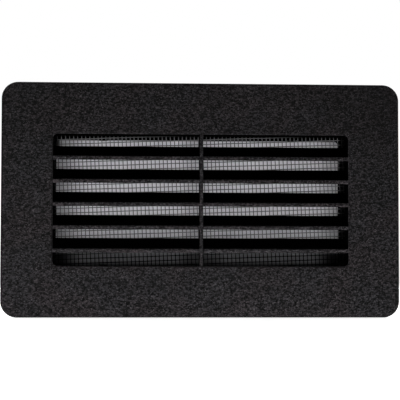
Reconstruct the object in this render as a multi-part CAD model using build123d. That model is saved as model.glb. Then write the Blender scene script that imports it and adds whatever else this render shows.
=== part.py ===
from build123d import *
import math
import os

# Louvred air grille for a wall opening. A one-piece louvred front, with an insect screen and a duct
# spigot screwed behind it, is pushed into a folded sheet-steel wall frame and held by four leaf springs.
# X is to the right as seen from the room, +Y goes into the wall and +Z is up. y = 0 is the wall's face,
# and the origin is the centre of the opening.

# ---- driving dimensions, millimetres and degrees ----
# louvred front
plate_width = 170.0
plate_height = 100.0
plate_corner_radius = 7.0
plate_stand_off = 4.0          # the front face stands this far out of the wall
plate_wall = 2.0
rim_wall = 2.0                 # turned-back rim that meets the wall
front_edge_radius = 1.0
side_border = 21.9             # plate edge to window, left and right
top_border = 21.95             # plate edge to window, top and bottom
window_corner_radius = 2.0
collar_wall = 1.8              # short collar round the window, behind the plate
collar_depth = 10.5            # front face to the collar's rear end

# louvres
blade_pitch = 9.86
blade_lip = 1.54               # height of a blade's front edge
blade_back = 1.35              # thickness at its rear edge, upright
blade_depth = 7.8
blade_angle = 32.5             # slope above the horizontal, rising into the wall
top_slot = 9.69                # window's top edge to the first blade
centre_bar_width = 1.45
lip_edge_bevel = 0.25

# insect screen
screen_thickness = 0.9         # pressed hem round the edge
screen_pitch_across = 1.74
screen_pitch_up = 2.0
wire_diameter = 0.42
wire_layer_gap = 0.02
hem_setback = 0.2              # the hem stays this far out of the air path

# duct spigot
spigot_wall = 1.2
overall_depth = 30.0           # front face to the spigot's and wall frame's rear ends

# screws that clamp the screen and the spigot
boss_radius = 3.2
boss_overlap = 0.3             # how far a boss runs into the collar
screw_spacing = 40.0
flange_edge = 0.6              # spigot flange beyond the bosses
screw_radius = 1.3
screw_length = 5.0
screw_clearance = 0.3
screw_head_flats = 5.0         # hexagon head, across flats
screw_head_height = 2.0

# wall frame
frame_inset = 10.0             # plate edge to the outside of the sleeve
frame_sheet = 1.0
frame_flange = 6.0             # turned-out flange under the plate
frame_corner_radius = 3.0
frame_bend = 0.5               # flat that stands for the flange's bend, inside and outside
flange_mitre_gap = 0.8
lug_width = 10.0
lug_length = 12.0
lug_spacing = 32.0
lug_angle = 35.0
lug_start = 9.5                # wall's face to the lug's bend
lug_relief = 0.4
fixing_radius = 2.25
fixing_spacing = 60.0
fixing_depth = 12.0            # wall's face to the fixing holes

# foam gasket, compressed between the plate and the wall frame's flange
gasket_width = 4.6
gasket_edge = 0.4              # flange edge to gasket edge

# leaf springs and their rivets
spring_width = 10.0
spring_sheet = 0.5
spring_spacing = 84.0
spring_foot = 7.0
spring_front_gap = 1.4         # spigot's flange to the end of the spring's lip
spring_ramp_share = 0.6        # of the length in front of the foot; the lip has the rest
spring_lip_drop = 3.2
spring_bend_radius = 1.4
spring_tail = 1.0              # spigot's rear end to the spring's foot
spring_clearance = 0.3         # spring's nose to the sleeve
rivet_setback = 3.2            # spring's rear end to the rivet's centre
rivet_radius = 1.5
rivet_head_radius = 2.7
rivet_head_height = 1.0
rivet_tail_radius = 2.3
rivet_tail_height = 0.8

# ---- worked out from the above ----
front_y = -plate_stand_off
plate_back_y = front_y + plate_wall
collar_end_y = front_y + collar_depth
spigot_start_y = collar_end_y + screen_thickness
rear_y = front_y + overall_depth

window_width = plate_width - 2 * side_border
window_height = plate_height - 2 * top_border
collar_width = window_width + 2 * collar_wall
collar_height = window_height + 2 * collar_wall
collar_radius = window_corner_radius + collar_wall
spigot_width = window_width + 2 * spigot_wall
spigot_height = window_height + 2 * spigot_wall

blade_rise = blade_depth * math.tan(math.radians(blade_angle))
blade_count = int((window_height - top_slot - blade_lip) // blade_pitch) + 1

sleeve_width = plate_width - 2 * frame_inset
sleeve_height = plate_height - 2 * frame_inset
flange_width = sleeve_width + 2 * frame_flange
flange_height = sleeve_height + 2 * frame_flange

boss_offset = boss_radius - boss_overlap
screw_places = [
    (side * (collar_width / 2 + boss_offset), level * screw_spacing / 2)
    for side in (-1, 1)
    for level in (-1, 1)
]


# ---- shared shapes ----
def slab(outline, y_from, y_to):
    """An outline drawn in X and Z, carried from one depth to another."""
    plane = Plane(origin=(0, y_to, 0), x_dir=(1, 0, 0), z_dir=(0, -1, 0))
    return plane * extrude(outline, y_to - y_from)


def rounded(width, height, radius):
    return RectangleRounded(width, height, radius)


def bar_along_x(points, length):
    """A section drawn as (y, z) points, carried along X and centred on x = 0."""
    plane = Plane(origin=(-length / 2, 0, 0), x_dir=(0, 1, 0), z_dir=(1, 0, 0))
    return plane * extrude(make_face(Polyline(*points, close=True)), length)


def rod(radius, y_from, y_to, place):
    """A round rod along Y at (x, z)."""
    return slab(Pos(place[0], place[1]) * Circle(radius), y_from, y_to)


def save(node, shape):
    shape.label = node
    export_step(shape, os.path.join("parts", node + ".step"))
    print(node, len(shape.solids()), "solid(s)", round(shape.volume, 1), "mm3")


# ---- louvred front ----
def blade(level):
    """One louvre: an upright front lip, and a blade that rises into the wall and thins a little."""
    section = [
        (front_y, level - blade_lip),
        (front_y, level),
        (front_y + blade_depth, level + blade_rise),
        (front_y + blade_depth, level + blade_rise - blade_back),
    ]
    return bar_along_x(section, window_width + collar_wall)


def louvre_levels():
    """Height of each blade's front top edge, from the top down."""
    first = window_height / 2 - top_slot
    return [first - i * blade_pitch for i in range(blade_count)]


def louvre_block():
    """The collar with its blades and the centre bar that ties them together."""
    block = slab(rounded(collar_width, collar_height, collar_radius), front_y, collar_end_y)
    block -= slab(rounded(window_width, window_height, window_corner_radius), front_y, collar_end_y)
    bar = slab(Rectangle(centre_bar_width, window_height + collar_wall), front_y, front_y + blade_depth)
    return block + [blade(level) for level in louvre_levels()] + [bar]


def front_grille():
    plate = slab(rounded(plate_width, plate_height, plate_corner_radius), front_y, 0)
    plate = fillet(plate.faces().sort_by(Axis.Y)[0].outer_wire().edges(), front_edge_radius)
    inner_radius = plate_corner_radius - rim_wall
    plate -= slab(
        rounded(plate_width - 2 * rim_wall, plate_height - 2 * rim_wall, inner_radius), plate_back_y, 0
    )
    plate -= slab(rounded(collar_width, collar_height, collar_radius), front_y, plate_back_y)
    plate += louvre_block()
    plate += [rod(boss_radius, plate_back_y, spigot_start_y, place) for place in screw_places]
    plate -= slab(rounded(collar_width, collar_height, collar_radius), collar_end_y, spigot_start_y)
    pilot_end = spigot_start_y + spigot_wall - screw_length
    plate -= [rod(screw_radius, pilot_end, spigot_start_y, place) for place in screw_places]
    slot_edges = [
        edge
        for wire in plate.faces().sort_by(Axis.Y)[0].inner_wires()
        for edge in wire.edges()
    ]
    return chamfer(slot_edges, lip_edge_bevel)


# ---- insect screen ----
def wire_positions(span, pitch):
    """Centres of the wires that fit across a span, evenly about its middle."""
    count = int((span - 2 * wire_diameter) // pitch) + 1
    return [(i - (count - 1) / 2) * pitch for i in range(count)]


def insect_screen():
    """Upright wires in front, level wires behind them, all let into a pressed hem."""
    middle_y = collar_end_y + screen_thickness / 2
    layer = (wire_diameter + wire_layer_gap) / 2
    hem_width = collar_wall - hem_setback
    inner_width = window_width + 2 * hem_setback
    inner_height = window_height + 2 * hem_setback
    hem = slab(rounded(collar_width, collar_height, collar_radius), collar_end_y, spigot_start_y)
    hem -= slab(
        rounded(inner_width, inner_height, window_corner_radius + hem_setback), collar_end_y, spigot_start_y
    )
    section = Rectangle(wire_diameter, wire_diameter)
    tall, long = inner_height + hem_width, inner_width + hem_width
    upright = extrude(section, tall / 2, both=True)
    level = Rot(0, 90, 0) * extrude(section, long / 2, both=True)
    wires = [Pos(x, middle_y - layer, 0) * upright for x in wire_positions(window_width, screen_pitch_across)]
    wires += [Pos(0, middle_y + layer, z) * level for z in wire_positions(window_height, screen_pitch_up)]
    return hem + wires


# ---- duct spigot ----
def spigot_flange_size():
    reach = boss_offset + boss_radius + flange_edge
    return collar_width + 2 * reach, collar_height + 2 * reach


def spring_places():
    """(x, side) of each leaf spring; side is +1 on top of the spigot and -1 under it."""
    return [(x * spring_spacing / 2, side) for side in (1, -1) for x in (-1, 1)]


def rivet_y():
    return rear_y - spring_tail - rivet_setback


def duct_spigot():
    """Rectangular tube whose inside is flush with the window, with a flange that clamps the screen."""
    width, height = spigot_flange_size()
    flange = slab(rounded(width, height, frame_corner_radius), spigot_start_y, spigot_start_y + spigot_wall)
    tube_radius = window_corner_radius + spigot_wall
    spigot = flange + slab(rounded(spigot_width, spigot_height, tube_radius), spigot_start_y, rear_y)
    spigot -= slab(rounded(window_width, window_height, window_corner_radius), spigot_start_y, rear_y)
    clearance_radius = screw_radius + screw_clearance
    holes = [
        rod(clearance_radius, spigot_start_y, spigot_start_y + spigot_wall, place) for place in screw_places
    ]
    middle = (spigot_height - spigot_wall) / 2
    for x, side in spring_places():
        holes.append(Pos(x, rivet_y(), side * middle) * Cylinder(rivet_radius, 2 * spigot_wall))
    return spigot - holes


# ---- fasteners ----
def clamp_screws():
    """Four hexagon-head thread-forming screws."""
    seat = spigot_start_y + spigot_wall
    hexagon = RegularPolygon(screw_head_flats / 2, 6, major_radius=False)
    screws = []
    for place in screw_places:
        head = slab(Pos(*place) * hexagon, seat, seat + screw_head_height)
        shank = rod(screw_radius, seat - screw_length, seat, place)
        screws.append(head + shank)
    return Compound(children=screws)


def spring_rivets():
    """Four blind rivets, headed on the spring's foot and set inside the spigot."""
    rivets = []
    outside = spigot_height / 2 + spring_sheet
    inside = window_height / 2
    for x, side in spring_places():
        head = Cylinder(rivet_head_radius, rivet_head_height, align=(Align.CENTER, Align.CENTER, Align.MIN))
        shank = Cylinder(rivet_radius, outside - inside, align=(Align.CENTER, Align.CENTER, Align.MAX))
        tail = Cylinder(rivet_tail_radius, rivet_tail_height, align=(Align.CENTER, Align.CENTER, Align.MAX))
        rivet = head + shank + Pos(0, 0, inside - outside) * tail
        rivet = Pos(x, rivet_y(), outside) * rivet
        rivets.append(rivet if side > 0 else mirror(rivet, Plane.XY))
    return Compound(children=rivets)


# ---- leaf springs ----
def leaf_spring(x, side):
    """A bent strip: riveted foot at the rear, a ramp out to the nose, and a lip turned back in."""
    base = spigot_height / 2
    nose = sleeve_height / 2 - frame_sheet - spring_clearance
    foot_start = rear_y - spring_tail
    ramp_start = foot_start - spring_foot
    lip_end = spigot_start_y + spigot_wall + spring_front_gap
    nose_y = ramp_start - spring_ramp_share * (ramp_start - lip_end)
    nose_excess = 2 * spring_sheet
    path = FilletPolyline(
        (foot_start, base),
        (ramp_start, base),
        (nose_y, nose + nose_excess - spring_sheet),
        (lip_end, nose - spring_lip_drop),
        radius=spring_bend_radius,
    )
    strip = make_face(offset(path, spring_sheet, side=Side.RIGHT))
    plane = Plane(origin=(x - spring_width / 2, 0, 0), x_dir=(0, 1, 0), z_dir=(1, 0, 0))
    spring = plane * extrude(strip, spring_width)
    spring -= Pos(x, rivet_y(), base) * Cylinder(rivet_radius, 4 * spring_sheet)
    return spring if side > 0 else mirror(spring, Plane.XY)


# ---- foam gasket ----
def foam_gasket():
    outer_width, outer_height = flange_width - 2 * gasket_edge, flange_height - 2 * gasket_edge
    outer = rounded(outer_width, outer_height, frame_corner_radius)
    inner = Rectangle(outer_width - 2 * gasket_width, outer_height - 2 * gasket_width)
    return slab(outer - inner, plate_back_y, -frame_sheet)


# ---- wall frame ----
def anchor_lug(side, level):
    """A tongue cut out of a short wall and bent outwards, to be held by plaster or mortar."""
    lean = math.radians(lug_angle)
    outward, along = math.sin(lean), math.cos(lean)
    face = sleeve_width / 2
    tip = (face + lug_length * outward, lug_start + lug_length * along)
    points = [
        (face - frame_sheet, lug_start - frame_sheet),
        (face, lug_start - frame_sheet),
        (face, lug_start),
        tip,
        (tip[0] - frame_sheet * along, tip[1] + frame_sheet * outward),
        (face - frame_sheet, lug_start + frame_sheet * (1 - along) / outward),
    ]
    lug = extrude(make_face(Polyline(*points, close=True)), lug_width / 2, both=True)
    lug = Pos(0, 0, level) * lug
    return lug if side > 0 else mirror(lug, Plane.YZ)


def wall_frame():
    """Folded sleeve with a turned-out flange, four anchor lugs and four fixing holes."""
    inner_radius = frame_corner_radius - frame_sheet
    inner_width, inner_height = sleeve_width - 2 * frame_sheet, sleeve_height - 2 * frame_sheet
    sleeve = slab(rounded(sleeve_width, sleeve_height, frame_corner_radius), -frame_sheet, rear_y)
    sleeve += slab(rounded(flange_width, flange_height, frame_corner_radius), -frame_sheet, 0)
    corner_edges = [
        edge
        for edge in sleeve.edges()
        if abs(edge.center().Y) < 1e-6
        and abs(edge.center().X) < sleeve_width / 2 + 0.01
        and abs(edge.center().Z) < sleeve_height / 2 + 0.01
    ]
    sleeve = chamfer(corner_edges, frame_bend)
    sleeve -= slab(rounded(inner_width, inner_height, inner_radius), -frame_sheet, rear_y)
    mouth = sleeve.faces().sort_by(Axis.Y)[0].inner_wires()[0].edges()
    sleeve = chamfer(mouth, frame_bend)
    cuts = []
    for side in (-1, 1):
        for level in (-lug_spacing / 2, lug_spacing / 2):
            window = Box(4 * frame_sheet, lug_length + lug_relief, lug_width + 2 * lug_relief)
            middle_y = lug_start + (lug_length + lug_relief) / 2
            cuts.append(Pos(side * sleeve_width / 2, middle_y, level) * window)
        for level in (-fixing_spacing / 2, fixing_spacing / 2):
            hole = Rot(0, 90, 0) * Cylinder(fixing_radius, 4 * frame_sheet)
            cuts.append(Pos(side * (sleeve_width - frame_sheet) / 2, fixing_depth, level) * hole)
    for side in (-1, 1):
        for up in (-1, 1):
            mitre = Box(2 * frame_flange, 4 * frame_sheet, flange_mitre_gap)
            mitre = Pos(frame_flange, 0, 0) * mitre
            turn = math.degrees(math.atan2(-up, side))
            corner = (side * sleeve_width / 2, -frame_sheet, up * sleeve_height / 2)
            cuts.append(Pos(*corner) * Rot(0, turn, 0) * mitre)
    sleeve -= cuts
    lugs = [anchor_lug(side, level * lug_spacing / 2) for side in (-1, 1) for level in (-1, 1)]
    return sleeve + lugs


# ---- write every piece ----
os.makedirs("parts", exist_ok=True)
save("front_grille", front_grille())
save("insect_screen", insect_screen())
save("duct_spigot", duct_spigot())
save("clamp_screws", clamp_screws())
save("spring_rivets", spring_rivets())
save("foam_gasket", foam_gasket())
save("wall_frame", wall_frame())
spring_names = ["upper_left", "upper_right", "lower_left", "lower_right"]
for name, (x, side) in zip(spring_names, spring_places()):
    save("leaf_spring_" + name, leaf_spring(x, side))
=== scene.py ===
# %% [markdown]
# # A louvred air grille
# The real object is a black powder-coated front with five sloping blades. Behind it sit a woven
# insect screen, a rectangular duct spigot, and a galvanised frame that stays in the wall. This
# notebook loads the solid model as a fixed frame and dresses it: each solid keeps its place, and
# gets a finish or a finer shape. Everything is in metres, with +X to the right, +Y into the wall
# and +Z up.

import bpy
import numpy as np
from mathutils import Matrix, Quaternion, Vector


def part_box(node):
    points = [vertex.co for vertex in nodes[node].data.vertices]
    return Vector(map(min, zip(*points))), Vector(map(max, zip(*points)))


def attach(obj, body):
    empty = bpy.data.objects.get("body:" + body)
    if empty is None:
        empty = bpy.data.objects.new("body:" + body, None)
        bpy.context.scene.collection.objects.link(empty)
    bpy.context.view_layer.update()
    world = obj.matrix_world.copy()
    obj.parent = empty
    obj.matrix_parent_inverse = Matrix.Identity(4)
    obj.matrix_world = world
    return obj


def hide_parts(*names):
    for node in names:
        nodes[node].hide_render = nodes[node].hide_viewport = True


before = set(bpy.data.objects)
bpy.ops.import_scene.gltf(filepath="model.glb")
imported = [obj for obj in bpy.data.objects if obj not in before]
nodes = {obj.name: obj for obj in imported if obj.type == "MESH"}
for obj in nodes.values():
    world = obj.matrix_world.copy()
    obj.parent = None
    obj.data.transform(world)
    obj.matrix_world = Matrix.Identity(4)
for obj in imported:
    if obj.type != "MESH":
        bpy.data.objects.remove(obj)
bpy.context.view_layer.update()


# %% Measure the solids
def corners_of(node_name):
    """A solid's lowest and highest corners at rest, as two arrays."""
    return tuple(np.array(corner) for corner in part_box(node_name))


MM = 0.001
grille_low, grille_high = corners_of("front_grille")
front_y, floor_z = grille_low[1], grille_low[2]
rear_y = corners_of("duct_spigot")[1][1]
half_width, half_height = 63.1 * MM, 28.05 * MM
print("front face at", front_y, "rear end at", rear_y, "floor at", floor_z)
print("window and duct", 2 * half_width, "by", 2 * half_height)

# %% [markdown]
# ## Camera
# A wide lens close by would make the front's edges run together. A long lens from 0.6 m keeps them
# nearly parallel. It stands a little to the left and below the middle, so the blades' sloping tops
# and the left flank of the centre bar come into view.

# %% Place the camera
camera_data = bpy.data.cameras.new("camera")
camera_data.sensor_width, camera_data.lens = 36.0, 130.25
camera_data.clip_start, camera_data.clip_end = 0.01, 20.0
camera = bpy.data.objects.new("camera", camera_data)
bpy.context.collection.objects.link(camera)
camera.location = (-0.0377, -0.6185, -0.0300)
aim, roll = Vector((-0.00066, front_y, 0.00001)), 0.0017
camera.rotation_mode = "QUATERNION"
upright_view = (aim - camera.location).to_track_quat("-Z", "Y")
camera.rotation_quaternion = upright_view @ Quaternion((0, 0, 1), roll)
bpy.context.scene.camera = camera
bpy.context.scene.view_settings.view_transform = "Standard"
print("camera", round((aim - camera.location).length, 4), "m from the front")

# %% [markdown]
# ## A way to write shader sums
# A material is a graph of nodes. It could be wired one node at a time, which soon hides the rule
# that it stands for. Written as Python sums it reads like that rule, so one small class wraps a
# socket: adding or multiplying two of them adds the Math node that does it.


# %% The socket class
class Value:
    """One output of a node. a + b, a * b, 1 - a or abs(a) adds the Math node that works it out."""

    def __init__(self, tree, socket=None):
        self.tree, self.socket = tree, socket

    def node(self, kind, settings=None, inputs=None, output=0):
        """Adds a node: its type, its settings, then the values or links of its sockets."""
        made = self.tree.nodes.new(kind)
        for name, setting in (settings or {}).items():
            setattr(made, name, setting)
        for name, value in (inputs or {}).items():
            if isinstance(value, Value):
                self.tree.links.new(value.socket, made.inputs[name])
            else:
                made.inputs[name].default_value = value
        return Value(self.tree, made.outputs[output] if made.outputs else None)

    def math(self, operation, *values):
        """A Math node: its operation on these values."""
        return self.node("ShaderNodeMath", {"operation": operation}, dict(enumerate(values)))

    def __add__(self, other):
        return self.math("ADD", self, other)

    def __sub__(self, other):
        return self.math("SUBTRACT", self, other)

    def __rsub__(self, other):
        return self.math("SUBTRACT", other, self)

    def __mul__(self, other):
        return self.math("MULTIPLY", self, other)

    __radd__, __rmul__ = __add__, __mul__

    def __neg__(self):
        return 0 - self

    def __abs__(self):
        return self.math("ABSOLUTE", self)

    def larger(self, other):
        """Whichever of the two is more."""
        return self.math("MAXIMUM", self, other)

    def part(self, axis):
        """One of a vector's numbers: X, Y or Z."""
        return self.node("ShaderNodeSeparateXYZ", None, {0: self}, output=axis)

    def rise(self, start, end):
        """0 below start, 1 above end, and a smooth step between."""
        inputs = {"Value": self, "From Min": start, "From Max": end}
        return self.node("ShaderNodeMapRange", {"interpolation_type": "SMOOTHSTEP"}, inputs)

    def noise(self, scale, detail=2.0, roughness=0.5):
        """Soft noise from 0 to 1 on these coordinates; scale is bumps to the metre."""
        inputs = {"Vector": self, "Scale": scale, "Detail": detail, "Roughness": roughness}
        return self.node("ShaderNodeTexNoise", None, inputs)

    def cells(self, scale, output):
        """Cells round scattered points: a random Color for each, or the Distance to its point."""
        inputs = {"Vector": self, "Scale": scale}
        return self.node("ShaderNodeTexVoronoi", {"feature": "F1"}, inputs, output)

    def stretched(self, scale):
        """The coordinates multiplied by a scale for each axis."""
        return self.node("ShaderNodeMapping", None, {"Vector": self, "Scale": scale})


print("socket class ready")


# %% Colours and finishes
def colour(level, tint=(1.0, 1.0, 1.0)):
    """A grey of one level, tinted, as the four numbers a colour socket takes."""
    return (*(level * channel for channel in tint), 1.0)


def blend(mask, first, second):
    """The first colour where the mask is 0 and the second where it is 1."""
    inputs = {0: mask, 6: first, 7: second}
    return mask.node("ShaderNodeMix", {"data_type": "RGBA"}, inputs, output=2)


def new_finish(name):
    """A new material, empty but for the object's own coordinates, which are in metres."""
    material = bpy.data.materials.new(name)
    material.use_nodes = True
    material.node_tree.nodes.clear()
    place = Value(material.node_tree).node("ShaderNodeTexCoord", output="Object")
    return material, place


def bump(height, distance, strength=1.0):
    """A normal that follows a height from 0 to 1, worth `distance` metres."""
    inputs = {"Height": height, "Distance": distance, "Strength": strength}
    return height.node("ShaderNodeBump", None, inputs)


def surface(place, tone, roughness, relief=None, metallic=0.0, gloss=0.5):
    """The one shader that paint, metal and foam share. Gloss is how much it mirrors if no metal."""
    inputs = {"Base Color": tone, "Roughness": roughness, "Metallic": metallic}
    inputs["Specular IOR Level"] = gloss
    if relief:
        inputs["Normal"] = relief
    return place.node("ShaderNodeBsdfPrincipled", None, inputs)


def either(mask, first, second):
    """The first shader where the mask is 0 and the second where it is 1."""
    return mask.node("ShaderNodeMixShader", None, {0: mask, 1: first, 2: second})


def close(shader):
    """Joins a shader to its material's output."""
    shader.node("ShaderNodeOutputMaterial", None, {"Surface": shader})


print("colour and finish helpers ready")

# %% [markdown]
# ## Masks from distances
# A mask says where a finish changes, from 0 to 1. It could be painted by hand on an image, but the
# window and the duct are rectangles, so the distance from a side says the same with two numbers and
# stays sharp at any size. Every mask below is a smooth step of such a distance, given in
# millimetres.


# %% Masks
def past(distance, start, end):
    """A smooth step: 0 where the distance is under start millimetres and 1 where it is over end."""
    return distance.rise(start * MM, end * MM)


def band(distance, start, end):
    """1 between two smooth steps, each given as a pair: the first one times 1 minus the second."""
    return past(distance, *start) * (1 - past(distance, *end))


def dimmed(*falls):
    """1 - strength * mask, multiplied together for every (strength, mask) pair. A strength below 0
    makes its place lighter."""
    kept = 1.0
    for strength, mask in falls:
        kept = kept * (1 - strength * mask)
    return kept


def lowest_slot(place):
    """1 in the lowest slot and 0 above it."""
    return 1 - past(place.part("Z"), -23.5, -20.5)


def duct_painted_light(place, side_reach, top_gap, side_strength, bar_strength):
    """Painted light in the duct: 1 in the open duct, and painted shade that makes it less near its
    walls, in its low and left corners and behind the centre bar. Side reach is how far in from the
    side walls the shade begins, and top gap is how far down from the top wall."""
    x, z, low = place.part("X"), place.part("Z"), lowest_slot(place)
    # How far a point is past the side walls, and past the left one: below 0 inside the duct.
    past_side, past_left = abs(x) - half_width, -x - half_width
    low_bar = (1 - past(abs(x - 2 * MM), 5, 13)) * low
    return dimmed(
        (side_strength, past(past_side, -side_reach, 0)),  # beside the side walls
        (0.85, past(z - half_height, -top_gap, 0.9 - top_gap)),  # under the top wall
        (0.95, 1 - past(z + half_height, -0.1, 2.6)),  # on the bottom wall
        (0.94, past(past_side, -12.6, -1.6) * low),  # in the lower corners
        (0.96, past(past_left, -2.5, -1) * past(z, 22, 24)),  # in the upper left corner
        (0.4, low_bar),  # behind the bar's lower end
        (1.0, past(past_left, -0.4, -0.1)),  # at the left wall itself
        (bar_strength, 1 - past(abs(x), 1.5, 9)),  # behind the whole bar
    )


print("mask helpers ready")

# %% [markdown]
# ## Stage
# The front stands on a pale floor, and a white sheet close behind the spigot gives the screen
# something light to stand against. A bright world alone would do the same, but its light would also
# wash out the black coat. So the world is white only to rays that see it, which is how a plain
# studio looks, and the floor glows to those rays too and still takes the object's soft shadow. The
# sheet's tone and its faint glow carry painted shade near the duct's walls, in its corners and
# behind the centre bar, with painted shade in the lower slots and painted light in the lowest one.


# %% World
def seen_straight(start):
    """1 for rays of the camera, of mirrors and of glass, and 0 for rays that gather light."""
    kinds = ["Is Camera Ray", "Is Glossy Ray", "Is Transmission Ray"]
    camera_ray, glossy, clear = (start.node("ShaderNodeLightPath", output=kind) for kind in kinds)
    return camera_ray.larger(glossy).larger(clear)


world = bpy.data.worlds.new("studio")
bpy.context.scene.world = world
world.use_nodes = True
world.node_tree.nodes.clear()
start = Value(world.node_tree)
sky = {"Color": colour(1.0), "Strength": seen_straight(start)}
background = start.node("ShaderNodeBackground", None, sky)
start.node("ShaderNodeOutputWorld", None, {"Surface": background})
print("world: 1 where it is seen and 0 as light")


# %% Helpers for the stage
def flat_sheet(name, middle, along, up, finish):
    """One face of the stage, with its corners at middle plus or minus along plus or minus up."""
    middle, along, up = np.array([middle, along, up], dtype=float)
    corners = [middle - along - up, middle + along - up, middle + along + up, middle - along + up]
    mesh = bpy.data.meshes.new(name)
    mesh.from_pydata(corners, [], [(0, 1, 2, 3)])
    mesh.materials.append(finish)
    sheet = bpy.data.objects.new(name, mesh)
    bpy.context.collection.objects.link(sheet)
    sheet.visible_shadow = False


def matt_and_glow(place, tone, glow, strength=1.0):
    """Matt paint plus a glow. From its back it is clear, so that the sheet and the floor never hide
    the object in a view from behind or below."""
    matt = place.node("ShaderNodeBsdfDiffuse", None, {"Color": tone})
    shine = place.node("ShaderNodeEmission", None, {"Color": glow, "Strength": strength})
    both = place.node("ShaderNodeAddShader", None, {0: matt, 1: shine})
    behind = place.node("ShaderNodeNewGeometry", output="Backfacing")
    close(either(behind, both, place.node("ShaderNodeBsdfTransparent")))


print("stage helpers ready")

# %% Paint the stage
floor_white, place = new_finish("floor_white")
matt_and_glow(place, colour(0.85), colour(1.0), 0.93 * seen_straight(place))
sheet_white, place = new_finish("sheet_white")
# Painted shade on the sheet: darker near the duct's walls, in its corners and behind the bar.
sheet_painted_light = duct_painted_light(place, side_reach=12, top_gap=0.75, side_strength=0.45, bar_strength=0.25)
# Painted shade makes the lower slots a tenth darker, and painted light lifts the lowest slot.
painted_shade_low_down = 0.9 + 0.1 * past(place.part("Z"), -13, -6)
painted_light_lowest_slot = 0.82 + 0.18 * lowest_slot(place)
shade_grey, sheet_grey = colour(0.01), colour(0.93, (1.0, 0.985, 1.04))
sheet_tone = blend(sheet_painted_light * (painted_shade_low_down * painted_light_lowest_slot), shade_grey, sheet_grey)
# The sheet's faint glow follows the same painted shade.
matt_and_glow(place, sheet_tone, blend(sheet_painted_light, colour(0.0), colour(0.017)))
print("floor white and sheet white made")

# %% Set up the stage
FLOOR_REACH, SHEET_X, SHEET_Z = 1.6, 74 * MM, 39 * MM
sheet_y = rear_y + 0.2 * MM
flat_sheet("floor", (0, 0, floor_z), (FLOOR_REACH, 0, 0), (0, FLOOR_REACH, 0), floor_white)
flat_sheet("rear_sheet", (0, sheet_y, 0), (SHEET_X, 0, 0), (0, 0, SHEET_Z), sheet_white)
print("floor at z", floor_z, "and sheet at y", sheet_y)

# %% [markdown]
# ## Lamps
# One bright lamp straight ahead would light the blades' tops as much as the border. The main lamp
# here is wide and soft, in front and well below: its light goes in along the sloping blades. Two
# small lamps lie close under the plate, one at its left end, and make the coat lighter towards its
# lower edge. A faint one above and three behind are there for the metal in the other views.


# %% Place the lamps
def soft_lamp(name, spot, size, level):
    """A flat lamp that points at the origin and lights a white surface facing it to `level`: power
    is level times pi squared times the distance squared. Only rays aimed at it gather its light."""
    lamp = bpy.data.lights.new(name, "AREA")
    lamp.shape = "RECTANGLE"
    lamp.size, lamp.size_y = size
    offset = -Vector(spot)
    lamp.energy = level * np.pi**2 * offset.length_squared
    lamp.cycles.use_multiple_importance_sampling = False
    holder = bpy.data.objects.new(name, lamp)
    bpy.context.collection.objects.link(holder)
    holder.location = spot
    holder.rotation_mode = "QUATERNION"
    holder.rotation_quaternion = offset.to_track_quat("-Z", "Y")
    holder.visible_camera = holder.visible_glossy = False


def around(azimuth, elevation, distance):
    """A point by its compass angle from the front, its height angle and its distance."""
    turn, lift = np.radians(azimuth), np.radians(elevation)
    flat = distance * np.cos(lift)
    return (flat * np.sin(turn), -flat * np.cos(turn), distance * np.sin(lift))


# Each lamp has its place, its width and height, and the level to which it lights a white surface.
lamps = {
    "key": (around(-8, -26, 0.5), (0.42, 0.14), 0.84),
    "low_left": ((-0.17, -0.12, -0.11), (0.12, 0.08), 0.26),
    "low": ((0.01, -0.08, -0.12), (0.26, 0.05), 1.18),
    "top": ((0.0, 0.06, 1.2), (0.9, 0.9), 0.05),
    "rear_left": (around(150, 35, 1.2), (0.7, 0.7), 0.4),
    "rear_right": (around(-150, 35, 1.2), (0.7, 0.7), 0.4),
    "rear_middle": (around(180, 8, 1.0), (0.8, 0.5), 0.5),
}
for name, (spot, size, level) in lamps.items():
    soft_lamp(name, spot, size, level)
print(len(lamps), "lamps:", {name: level for name, (_, _, level) in lamps.items()})

# %% [markdown]
# ## Black powder coat
# Fine-texture powder melts into small, uneven bumps, a third to three quarters of a millimetre
# across. Real bumps would take millions of faces, so two sizes of noise make a height that only
# bends the light. The pits are darker than the tops as painted shade, and bright flecks are painted
# glints. The blades' lips are the lightest and the border is darker. Painted shade makes the coat
# darker on the centre bar and in the upper corners, and darkest on the folds at the plate's edges
# and on the rim of the window; painted light makes it a little lighter at the lower right. Behind
# the front face it is nearly black, which is painted shade in the recess. One mask gives each of
# these places.

# %% Where the coat is darker
powder_coat, place = new_finish("powder_coat")
x, y, z = (place.part(axis) for axis in "XYZ")
# How far a point is past the window's side edges and its top and bottom edges: below 0 inside it.
past_side, past_end = abs(x) - half_width, abs(z) - half_height
outside_window = past(past_side, 0, 0.3).larger(past(past_end, 0, 0.3))
# Painted shade: behind the front face, inside the window, the coat turns nearly black.
behind_face = past(y - front_y, 0.15, 0.9)
# Painted shade on the folds at the plate's edges and on the left and lower rims of the window.
painted_left_fold_shade = 1 - past(x - grille_low[0], 0.3, 1.1)
painted_upper_fold_shade = past(z - grille_high[2], -0.6, -0.1)
painted_right_fold_shade = past(x - grille_high[0], -2.4, -0.4)
painted_left_rim_shade = band(-x - half_width, (-0.1, 0.1), (0.1, 0.9)) * (1 - past(past_end, 0, 1))
painted_lower_rim_shade = band(-z - half_height, (-0.1, 0.1), (0.25, 0.75)) * (1 - past(past_side, 0, 1))
# Painted shade on the centre bar and more on its right edge, and in the upper corners, more at the
# right.
bar = (1 - past(abs(x), 1.2, 1.5)) * (1 - outside_window)
painted_bar_edge_shade = bar * past(x, 0.3, 0.6)
painted_upper_corner_shade = past(abs(x), 35, 80) * past(z, 10, 42)
upper_right = painted_upper_corner_shade * past(x, 0, 10)
# Painted light: the lower right of the plate is made a little lighter.
lower_right = band(x, (-20, 15), (72, 84)) * (1 - past(z, -25, 0))
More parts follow.
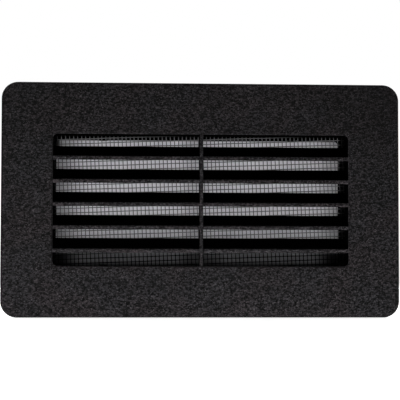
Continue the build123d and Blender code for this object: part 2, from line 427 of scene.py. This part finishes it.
# The coat's tone: the border darker than the lips, times the painted shade and painted light above.
tone_and_painted_shade = dimmed(
    (0.49, outside_window),
    (0.95, painted_left_fold_shade),
    (0.6, painted_upper_fold_shade),
    (0.3, painted_right_fold_shade),
    (0.85, painted_left_rim_shade.larger(painted_lower_rim_shade)),
    (0.2, bar),
    (0.4, painted_bar_edge_shade),
    (0.16, painted_upper_corner_shade),
    (0.24, upper_right),
    (-0.1, lower_right),
)
print("masks: border, folds, rim of the window, centre bar, corners")

# %% Grain of the coat
COARSE_BUMPS, FINE_BUMPS, PATCHES = 1350.0, 2900.0, 60.0  # to the metre
wide_bumps = place.stretched((0.7, 1.0, 1.12))
coarse = wide_bumps.noise(COARSE_BUMPS, detail=1.0)
fine = wide_bumps.noise(FINE_BUMPS, detail=1.0)
height = 0.65 * coarse + 0.35 * fine
# Painted shade and glints: the pits are darker than the tops, and bright flecks stand in for
# glints.
tops, painted_glints = height.rise(0.28, 0.72), fine.rise(0.6, 0.78)
pit_painted_shade, cool_top = colour(0.0026), colour(0.0485, (1.02, 0.97, 1.05))
warm_top, painted_glint = colour(0.0485, (1.13, 0.97, 1.03)), colour(0.103, (1.08, 0.97, 1.05))
top_tone = blend(place.noise(PATCHES).rise(0.35, 0.65), cool_top, warm_top)
grain_with_painted_shade = blend(tops * tops * tone_and_painted_shade, pit_painted_shade, top_tone)
coat_tone = blend(painted_glints * tone_and_painted_shade, grain_with_painted_shade, painted_glint)
coat = surface(place, coat_tone, 0.62 - 0.1 * tops, bump(height, 0.3 * MM), gloss=0.04)
# Behind the front face: near black as painted shade in the recess, rough and without gloss.
painted_recess_shade = surface(place, colour(0.001), 0.9, bump(fine, 0.05 * MM, 0.5), gloss=0.0)
close(either(behind_face * (1 - outside_window), coat, painted_recess_shade))
bump_sizes = [round(1000 / scale, 2) for scale in (COARSE_BUMPS, FINE_BUMPS)]
print("powder coat: bumps of", bump_sizes, "mm")


# %% Assign a finish
def dress(node_name, finish):
    """Gives a solid of the frame its finish."""
    mesh = nodes[node_name].data
    mesh.materials.clear()
    mesh.materials.append(finish)


dress("front_grille", powder_coat)
print("front coated")


# %% [markdown]
# ## Metals
# Bare metal is bright because it mirrors the room, so its colour is its mirror colour and the rest
# is in its roughness and its fine grain. The screws are zinc plated, the rivets are aluminium, and
# the springs are rolled strip with a grain along their length. Painted shade turns the rivets'
# tails black inside the duct. The screen's wire is thin and oxidised to a dull grey that mirrors
# nothing, so it is made as matt paint, with painted shade where the duct's walls shade it.


# %% Plain metals
STAINS, DARKEST = 160.0, 0.72  # stains to the metre, and how dark the darkest is


def metal(
    name, level, tint, roughness, grain_scale, grain_depth,
    stretch=(1, 1, 1), metallic=1.0, light=None, gloss=0.5,
):
    """Metal whose grain is noise, stretched for rolled stock. Its tone follows six parts of grain
    to four of a wider stain, and both make it rougher. Light is a function for painted shade: 1
    where the metal shows and 0 where painted shade makes it black; grain depth is in millimetres."""
    finish, place = new_finish(name)
    grain = place.stretched(tuple(grain_scale * s for s in stretch)).noise(1.0, 3.0, 0.6)
    stain = place.noise(STAINS, 3.0)
    mottle = (0.6 * grain + 0.4 * stain).rise(0.3, 0.7)
    tone = blend(mottle, colour(level * DARKEST, tint), colour(level, tint))
    if light:
        # Painted shade: where the light function gives 0 the metal turns black.
        tone = blend(light(place), colour(0.001), tone)
    uneven = roughness + 0.16 * (stain - 0.5) + 0.1 * grain
    close(surface(place, tone, uneven, bump(grain, grain_depth * MM, 0.6), metallic, gloss))
    return finish


def wire_painted_light(place):
    """The screen's wires carry painted shade like the sheet behind them, more at the side walls,
    and most of all in the lowest slot."""
    x = place.part("X")
    left, right = past(-x - half_width, -1.6, -0.8), past(x - half_width, -3.3, -1.6)
    light = duct_painted_light(place, side_reach=6, top_gap=0.9, side_strength=0.3, bar_strength=0.0)
    return light * dimmed((0.9, left), (0.95, right), (0.97, lowest_slot(place)))


def rivet_painted_light(place):
    """Painted shade on a rivet: 0 on its tail inside the duct, which turns black, and 1 outside it.
    """
    return past(abs(place.part("Z")) - half_height, -0.1, 0.2)


# The wire's tone carries painted shade near the duct's walls and in the lowest slot.
wire_grey = metal(
    "screen_wire", level=0.15, tint=(1, 1, 1.02), roughness=0.7, grain_scale=2500.0,
    grain_depth=0.01, metallic=0.0, light=wire_painted_light, gloss=0.08,
)
zinc = metal(
    "zinc_plate", level=0.66, tint=(1, 1, 0.97), roughness=0.3, grain_scale=1800.0,
    grain_depth=0.01,
)
# The rivets' tails inside the duct turn black as painted shade.
rivet_metal = metal(
    "rivet_aluminium", level=0.74, tint=(1, 1, 1.02), roughness=0.34, grain_scale=1500.0,
    grain_depth=0.012, light=rivet_painted_light,
)
strip_steel = metal(
    "strip_steel", level=0.5, tint=(1, 1, 1.03), roughness=0.26, grain_scale=3200.0,
    grain_depth=0.008, stretch=(1, 0.05, 0.05),
)
for corner in ("upper_left", "upper_right", "lower_left", "lower_right"):
    dress("leaf_spring_" + corner, strip_steel)
print("wire grey, zinc, aluminium and strip steel made; springs dressed")

# %% [markdown]
# ## Galvanised sheet
# The wall frame is steel sheet dipped in zinc, which froze in flat crystals of slightly different
# shine. Noise alone would give clouds with soft edges, so each crystal is one cell of a Voronoi
# pattern with its own tone, and a little noise clouds it.

# %% Crystals
CRYSTALS, HAZE = 190.0, 420.0  # to the metre
galvanised, place = new_finish("galvanised")
crystal = place.cells(CRYSTALS, "Color").part("X")
haze = place.noise(HAZE, 4.0, 0.6)
spangle = 0.65 * crystal + 0.35 * haze
zinc_tone = blend(spangle, colour(0.34, (0.97, 1, 1.02)), colour(0.6, (0.98, 1, 1.02)))
uneven = 0.3 + 0.2 * crystal + 0.12 * haze
close(surface(place, zinc_tone, uneven, bump(spangle, 0.02 * MM, 0.5), metallic=1.0))
dress("wall_frame", galvanised)
print("crystals of about", round(1000 / CRYSTALS, 1), "mm")

# %% [markdown]
# ## Black sheet and foam
# The spigot is sheet steel sprayed satin black, smoother than the front, with the faint dimples of
# sprayed paint. Its inside is flush with the window and is a rougher matt black, darkened by
# painted
# shade as dark as the window's own walls, so a mask parts the two. The gasket is closed-cell foam:
# small bubbles with thin walls. Modelled bubbles would be too many to build, so a cell pattern
# makes both their tone and their dents.

# %% Satin black
DIMPLES, SMEARS = 900.0, 55.0  # to the metre
satin_black, place = new_finish("satin_black")
dimples, smear = place.noise(DIMPLES), place.noise(SMEARS, 4.0, 0.6)
beside_duct = past(abs(place.part("X")) - half_width, 0.2, 0.8)
above_duct = past(abs(place.part("Z")) - half_height, 0.2, 0.8)
smeared = blend(smear, colour(0.013), colour(0.022))
outer_paint = surface(place, smeared, 0.36 + 0.2 * smear, bump(dimples, 0.05 * MM, 0.5), gloss=0.4)
# The inside's near black is partly matt paint and partly painted shade.
inner_paint_and_shade = surface(place, colour(0.0015), 0.7 + 0.1 * smear, gloss=0.0)
close(either(beside_duct.larger(above_duct), inner_paint_and_shade, outer_paint))
dress("duct_spigot", satin_black)
print("spigot painted")

# %% Foam
BUBBLES, DUST = 1500.0, 240.0  # to the metre
foam, place = new_finish("closed_cell_foam")
bubble = place.cells(BUBBLES, "Distance")
foam_tone = blend(bubble.rise(0.1, 0.8), colour(0.02), colour(0.05))
dusty = 0.85 + 0.1 * place.noise(DUST, 3.0)
close(surface(place, foam_tone, dusty, bump(bubble, 0.2 * MM, 0.8), gloss=0.2))
print("foam bubbles about", round(1000 / BUBBLES, 2), "mm apart")

# %% [markdown]
# ## Woven insect screen
# The solid model lays straight rods over each other. Real screen wire is woven: each wire goes over
# one neighbour and under the next. A flat pattern with holes would look the same from far off, but
# the weave shows close up, so each wire is a tube carried along a wave, and all the wires of one
# direction are worked out together as one array. The screen was cut a little askew, so both sets of
# wires lean by two to three degrees, and no wire runs quite straight.


# %% Helpers for new pieces
def new_piece(name, points, faces, finish, smooth=True):
    """Makes a mesh of points and faces, gives it its finish, and lets it ride on the grille."""
    mesh = bpy.data.meshes.new(name)
    mesh.from_pydata(points.reshape(-1, 3), [], faces)
    mesh.polygons.foreach_set("use_smooth", np.full(len(mesh.polygons), smooth))
    mesh.materials.append(finish)
    mesh.update()
    piece = bpy.data.objects.new(name, mesh)
    bpy.context.collection.objects.link(piece)
    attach(piece, "grille")
    print(name, len(mesh.polygons), "faces")
    return piece


def tube_faces(tubes, rings, sides):
    """Quads between neighbouring rings of every tube, and one cap at each of its ends. A point's
    number is its tube times rings times sides, plus its ring times sides, plus its side."""
    start = np.arange(tubes)[:, None, None] * rings * sides
    ring = np.arange(rings - 1)[None, :, None] * sides
    side = np.arange(sides)[None, None, :]
    after = (side + 1) % sides
    corners = (ring + side, ring + sides + side, ring + sides + after, ring + after)
    quads = np.stack([start + corner for corner in corners], axis=-1).reshape(-1, 4)
    first = start[:, 0] + np.arange(sides)
    last = start[:, 0] + (rings - 1) * sides + np.arange(sides)[::-1]
    return quads.tolist() + first.tolist() + last.tolist()


def tubes_along(paths, radius, sides):
    """A round tube along each path: centre + radius (cos a * aside + sin a * upright), where aside
    is at right angles to the run and to Y, and upright is at right angles to both."""
    run = np.gradient(paths, axis=1)
    run /= np.linalg.norm(run, axis=-1, keepdims=True)
    aside = np.cross(run, (0.0, 1.0, 0.0))
    aside /= np.linalg.norm(aside, axis=-1, keepdims=True)
    upright = np.cross(aside, run)
    turn = np.linspace(0, 2 * np.pi, sides, endpoint=False)[:, None]
    spread = np.cos(turn) * aside[:, :, None] + np.sin(turn) * upright[:, :, None]
    return paths[:, :, None] + radius * spread


print("helpers ready")

# %% Measures of the screen
WIRE_RADIUS, CRIMP, WIRE_SIDES = 0.19 * MM, 0.2 * MM, 6
UPRIGHT_RINGS, LEVEL_RINGS = 120, 300
HEM_HALF_WIDTH, MOST_WIRES, SHORTEST_WIRE = 0.8 * MM, 60, 2 * MM
# Each wire wanders by two sine waves, given by their length over two pi and their sway.
LONG_WAVE, LONG_SWAY = 6.2 * MM, 0.035 * MM
SHORT_WAVE, SHORT_SWAY, UNEVEN_PITCH = 2.3 * MM, 0.02 * MM, 0.025 * MM
# A set of wires: the pitch between them, how far they lean for each unit of run, and the shift of
# the middle one.
upright_set = {"pitch": 1.74 * MM, "lean": -0.046, "shift": 0.462 * MM}
level_set = {"pitch": 1.992 * MM, "lean": 0.0365, "shift": 0.74 * MM}
screen_low, screen_high = corners_of("insect_screen")
screen_half_x, screen_half_z = screen_high[0] - HEM_HALF_WIDTH, screen_high[2] - HEM_HALF_WIDTH
screen_middle = (screen_low[1] + screen_high[1]) / 2
random = np.random.default_rng(5)
print("mesh inside the hem's middle:", 2 * screen_half_x, "by", 2 * screen_half_z)


# %% Weave the screen
def wires_of(wires, half_run, half_across, rings):
    """Wires of one set inside the hem: across = shift + pitch * number + lean * run, plus a slight
    wander of two sine waves, with run from one end of the hem to the other."""
    number = np.arange(-MOST_WIRES, MOST_WIRES + 1)
    middle = wires["shift"] + wires["pitch"] * number
    exits = np.stack([half_across - middle, -half_across - middle]) / wires["lean"]
    first_exit, last_exit = np.sort(exits, axis=0)
    low, high = np.maximum(first_exit, -half_run), np.minimum(last_exit, half_run)
    kept = high - low > SHORTEST_WIRE
    number, low, high = number[kept, None], low[kept, None], high[kept, None]
    run = low + (high - low) * np.linspace(0, 1, rings)
    phase = random.uniform(0, 2 * np.pi, (2, len(number), 1))
    wander = LONG_SWAY * np.sin(run / LONG_WAVE + phase[0])
    wander = wander + SHORT_SWAY * np.sin(run / SHORT_WAVE + phase[1])
    wander = wander + random.normal(0, UNEVEN_PITCH, number.shape)
    return number, run, middle[kept, None] + wires["lean"] * run + wander


def woven_depth(number, run, across, others, side):
    """Depth of a wire: a cosine that turns over at each wire it crosses, and from wire to wire. The
    wires crossed so far are (run - shift - lean * across) / pitch of the other set."""
    crossed = (run - others["shift"] - others["lean"] * across) / others["pitch"]
    return screen_middle + side * CRIMP * np.cos(np.pi * crossed) * np.cos(np.pi * number)


number, z, x = wires_of(upright_set, screen_half_z, screen_half_x, UPRIGHT_RINGS)
y = woven_depth(number, z, x, level_set, side=-1)
upright = tubes_along(np.stack([x, y, z], axis=-1), WIRE_RADIUS, WIRE_SIDES)
number, x, z = wires_of(level_set, screen_half_x, screen_half_z, LEVEL_RINGS)
y = woven_depth(number, x, z, upright_set, side=1)
level = tubes_along(np.stack([x, y, z], axis=-1), WIRE_RADIUS, WIRE_SIDES)
for name, tubes in (("screen_upright_wires", upright), ("screen_level_wires", level)):
    wires = new_piece(name, tubes, tube_faces(*tubes.shape[:3]), wire_grey)
    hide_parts("insect_screen")
print(len(upright), "upright and", len(level), "level wires")


# %% [markdown]
# ## Hem and gasket
# The screen's edge is pressed in a flat hem, and a strip of foam runs round behind the plate. Each
# could be a beveled curve, but a curve's section can pinch where it bends. Here one section is
# carried round a rectangle with rounded corners: a point that lies further out is carried round a
# larger rectangle with larger corners, so the section keeps its width.


# %% Carry a section round
def quarter_turns(points):
    """For each point of four rounded corners: the signs of its corner, and its direction
    (cos a, sin a) from the corner's centre, with a running through one quarter turn a corner."""
    turn = (np.arange(4)[:, None] * np.pi / 2 + np.linspace(0, np.pi / 2, points)).ravel()
    corner = np.repeat([(1, 1), (-1, 1), (-1, -1), (1, -1)], points, axis=0)
    return corner, np.stack([np.cos(turn), np.sin(turn)], axis=-1)


def carried_round(section, half_x, half_z, radius):
    """Carries (outward, depth) points round a rounded rectangle: corner centre + (radius + outward)
    times the direction of each angle of the corner's quarter turn, in eight steps."""
    corner, way = quarter_turns(9)
    centre = corner * (half_x - radius, half_z - radius)
    outward, depth = np.asarray(section).T
    flat = centre[:, None] + (radius + outward)[None, :, None] * way[:, None]
    depth = np.broadcast_to(depth, flat.shape[:2])
    points = np.stack([flat[..., 0], depth, flat[..., 1]], axis=-1)
    rings, sides = points.shape[:2]
    ring, side = np.arange(rings)[:, None] * sides, np.arange(sides)[None, :]
    after_ring, after_side = (ring + sides) % (rings * sides), (side + 1) % sides
    corners = (ring + side, ring + after_side, after_ring + after_side, after_ring + side)
    return points, np.stack(corners, axis=-1).reshape(-1, 4).tolist()


def soft_rectangle(half_out, half_deep, middle, rounding):
    """A section with rounded corners of four points each: corner centre + rounding * direction."""
    corner, way = quarter_turns(4)
    return corner * (half_out - rounding, half_deep - rounding) + (0, middle) + rounding * way


print("section helpers ready")

# %% Press the hem
HEM_HALF_DEPTH, HEM_ROUNDING, HEM_BEND = 0.44 * MM, 0.3 * MM, 3.0 * MM
section = soft_rectangle(HEM_HALF_WIDTH, HEM_HALF_DEPTH, screen_middle, HEM_ROUNDING)
points, faces = carried_round(section, screen_half_x, screen_half_z, HEM_BEND)
hem = new_piece("screen_hem", points, faces, wire_grey)
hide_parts("insect_screen")

# %% Lay the gasket
STRIP_HALF_WIDTH, STRIP_HALF_DEPTH = 2.3 * MM, 0.5 * MM
STRIP_ROUNDING, STRIP_BEND = 0.35 * MM, 2.6 * MM
foam_low, foam_high = corners_of("foam_gasket")
foam_middle, foam_side = (foam_low[1] + foam_high[1]) / 2, foam_high - STRIP_HALF_WIDTH
section = soft_rectangle(STRIP_HALF_WIDTH, STRIP_HALF_DEPTH, foam_middle, STRIP_ROUNDING)
points, faces = carried_round(section, foam_side[0], foam_side[2], STRIP_BEND)
gasket = new_piece("foam_strip", points, faces, foam)
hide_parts("foam_gasket")

# %% [markdown]
# ## Screws and rivets
# Both could be cut from cylinders, but a turned part is simpler as a profile of (radius, height)
# points spun round its axis. The hexagon head is the same idea with a radius that depends on the
# angle, and the thread one whose radius also depends on the height. All copies of a fastener go
# into one piece.


# %% Spin profiles
SIDES = 36
turn = np.linspace(0, 2 * np.pi, SIDES, endpoint=False)


def spun(radii, heights):
    """Points (radius cos a, radius sin a, height) at every angle a, from millimetres to metres."""
    radii, heights, angles = np.broadcast_arrays(radii, heights, turn)
    return np.stack([radii * np.cos(angles), radii * np.sin(angles), heights], axis=-1) * MM


def copies(local, places, axis, side=1):
    """Puts local (across, across, height) points at each place with height along Y or Z. Side -1
    turns the height over, and the angles too, so that the faces still point outwards."""
    across_a, across_b, height = np.moveaxis(local, -1, 0)
    turned = {"Y": (across_a, height, -across_b), "Z": (across_a, across_b, height)}[axis]
    points = np.asarray(places)[:, None, None] + np.stack(turned, axis=-1) * (1, 1, side)
    return points[:, :, ::side]


print("profiles are spun in", SIDES, "steps")

# %% Turn the screw
# These are millimetres: the head's height, its width over flats and the radius of its flat top.
HEAD_HEIGHT, FLATS, HEAD_TOP = 2.0, 5.0, 2.3
SHANK_LENGTH, POINT_LENGTH, CORE_RADIUS, THREAD_PITCH, THREAD_DEPTH = 5.0, 1.2, 1.12, 1.1, 0.3
SHANK_RINGS, HEAD_CHAMFER = 56, np.radians(30)
# A hexagon's radius is half its width over the cosine of the angle from the middle of a flat.
hexagon = FLATS / 2 / np.cos(np.mod(turn, np.pi / 3) - np.pi / 6)
slope = HEAD_HEIGHT - (hexagon - HEAD_TOP) * np.tan(HEAD_CHAMFER)
# (radius, height) of each ring of the head, from the dish in its top down to its seat.
head_rings = [
    (1.3, 1.82),
    (1.5, 1.85),
    (1.65, 1.97),
    (1.8, HEAD_HEIGHT),
    (HEAD_TOP, HEAD_HEIGHT),
    (0.985 * hexagon, slope),
    (hexagon, slope - 0.09),
    (hexagon, 0.1),
    (0.97 * hexagon, 0.0),
    (1.3, 0.0),
]
head = np.array([np.broadcast_arrays(*ring, turn)[:2] for ring in head_rings])
# A thread's radius is a sawtooth of the turn plus the height in pitches, and the point narrows.
heights = np.linspace(-0.05, -SHANK_LENGTH, SHANK_RINGS)[:, None]
tooth = np.abs(np.mod(turn / (2 * np.pi) + heights / THREAD_PITCH, 1.0) - 0.5) * 2
taper = np.clip((heights + SHANK_LENGTH) / POINT_LENGTH, 0.3, 1)
shank_radius = (CORE_RADIUS + THREAD_DEPTH * np.clip(1.6 * tooth - 0.6, 0, 1)) * taper
shank = np.stack(np.broadcast_arrays(shank_radius, heights), axis=1)
radii, levels = np.moveaxis(np.concatenate([head, shank]), 1, 0)
screw = spun(radii, levels)
print("one screw has", screw.shape[0] * screw.shape[1], "points")

# %% Place the screws
_, screws_high = corners_of("clamp_screws")
seat = screws_high[1] - HEAD_HEIGHT * MM
side_x = screws_high[0] - FLATS / 2 / np.cos(np.pi / 6) * MM
side_z = screws_high[2] - FLATS / 2 * MM
points = copies(screw, [(x, seat, z) for x in (-side_x, side_x) for z in (-side_z, side_z)], "Y")
faces = tube_faces(*points.shape[:3])
screws = new_piece("hex_screws", points, faces, zinc, smooth=False)
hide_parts("clamp_screws")

# %% Turn and place the rivets
# (radius, height) in millimetres, from the hollow in the head round to the end of the tail.
rivet_profile = [
    (0.5, 0.72), (0.6, 0.7), (0.64, 0.5), (0.88, 0.5), (0.94, 0.9), (1.1, 1.0), (1.5, 0.95),
    (2.0, 0.78), (2.4, 0.52), (2.65, 0.22), (2.7, 0.08), (2.62, 0.0), (1.5, 0.0), (1.5, -1.66),
    (2.1, -1.75), (2.28, -1.95), (2.2, -2.2), (1.9, -2.38), (1.4, -2.46), (0.8, -2.47),
    (0.7, -2.3), (0.4, -2.28),
]
radius, height = np.array(rivet_profile).T
rivet = spun(radius[:, None], height[:, None])
rivets_low, rivets_high = corners_of("spring_rivets")
rivet_x, rivet_y = rivets_high[0] - radius.max() * MM, (rivets_low[1] + rivets_high[1]) / 2
head_seat = rivets_high[2] - height.max() * MM
upper = copies(rivet, [(x, rivet_y, head_seat) for x in (-rivet_x, rivet_x)], "Z")
lower = copies(rivet, [(x, rivet_y, -head_seat) for x in (-rivet_x, rivet_x)], "Z", side=-1)
points = np.concatenate([upper, lower])
faces = tube_faces(*points.shape[:3])
rivets = new_piece("blind_rivets", points, faces, rivet_metal)
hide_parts("spring_rivets")
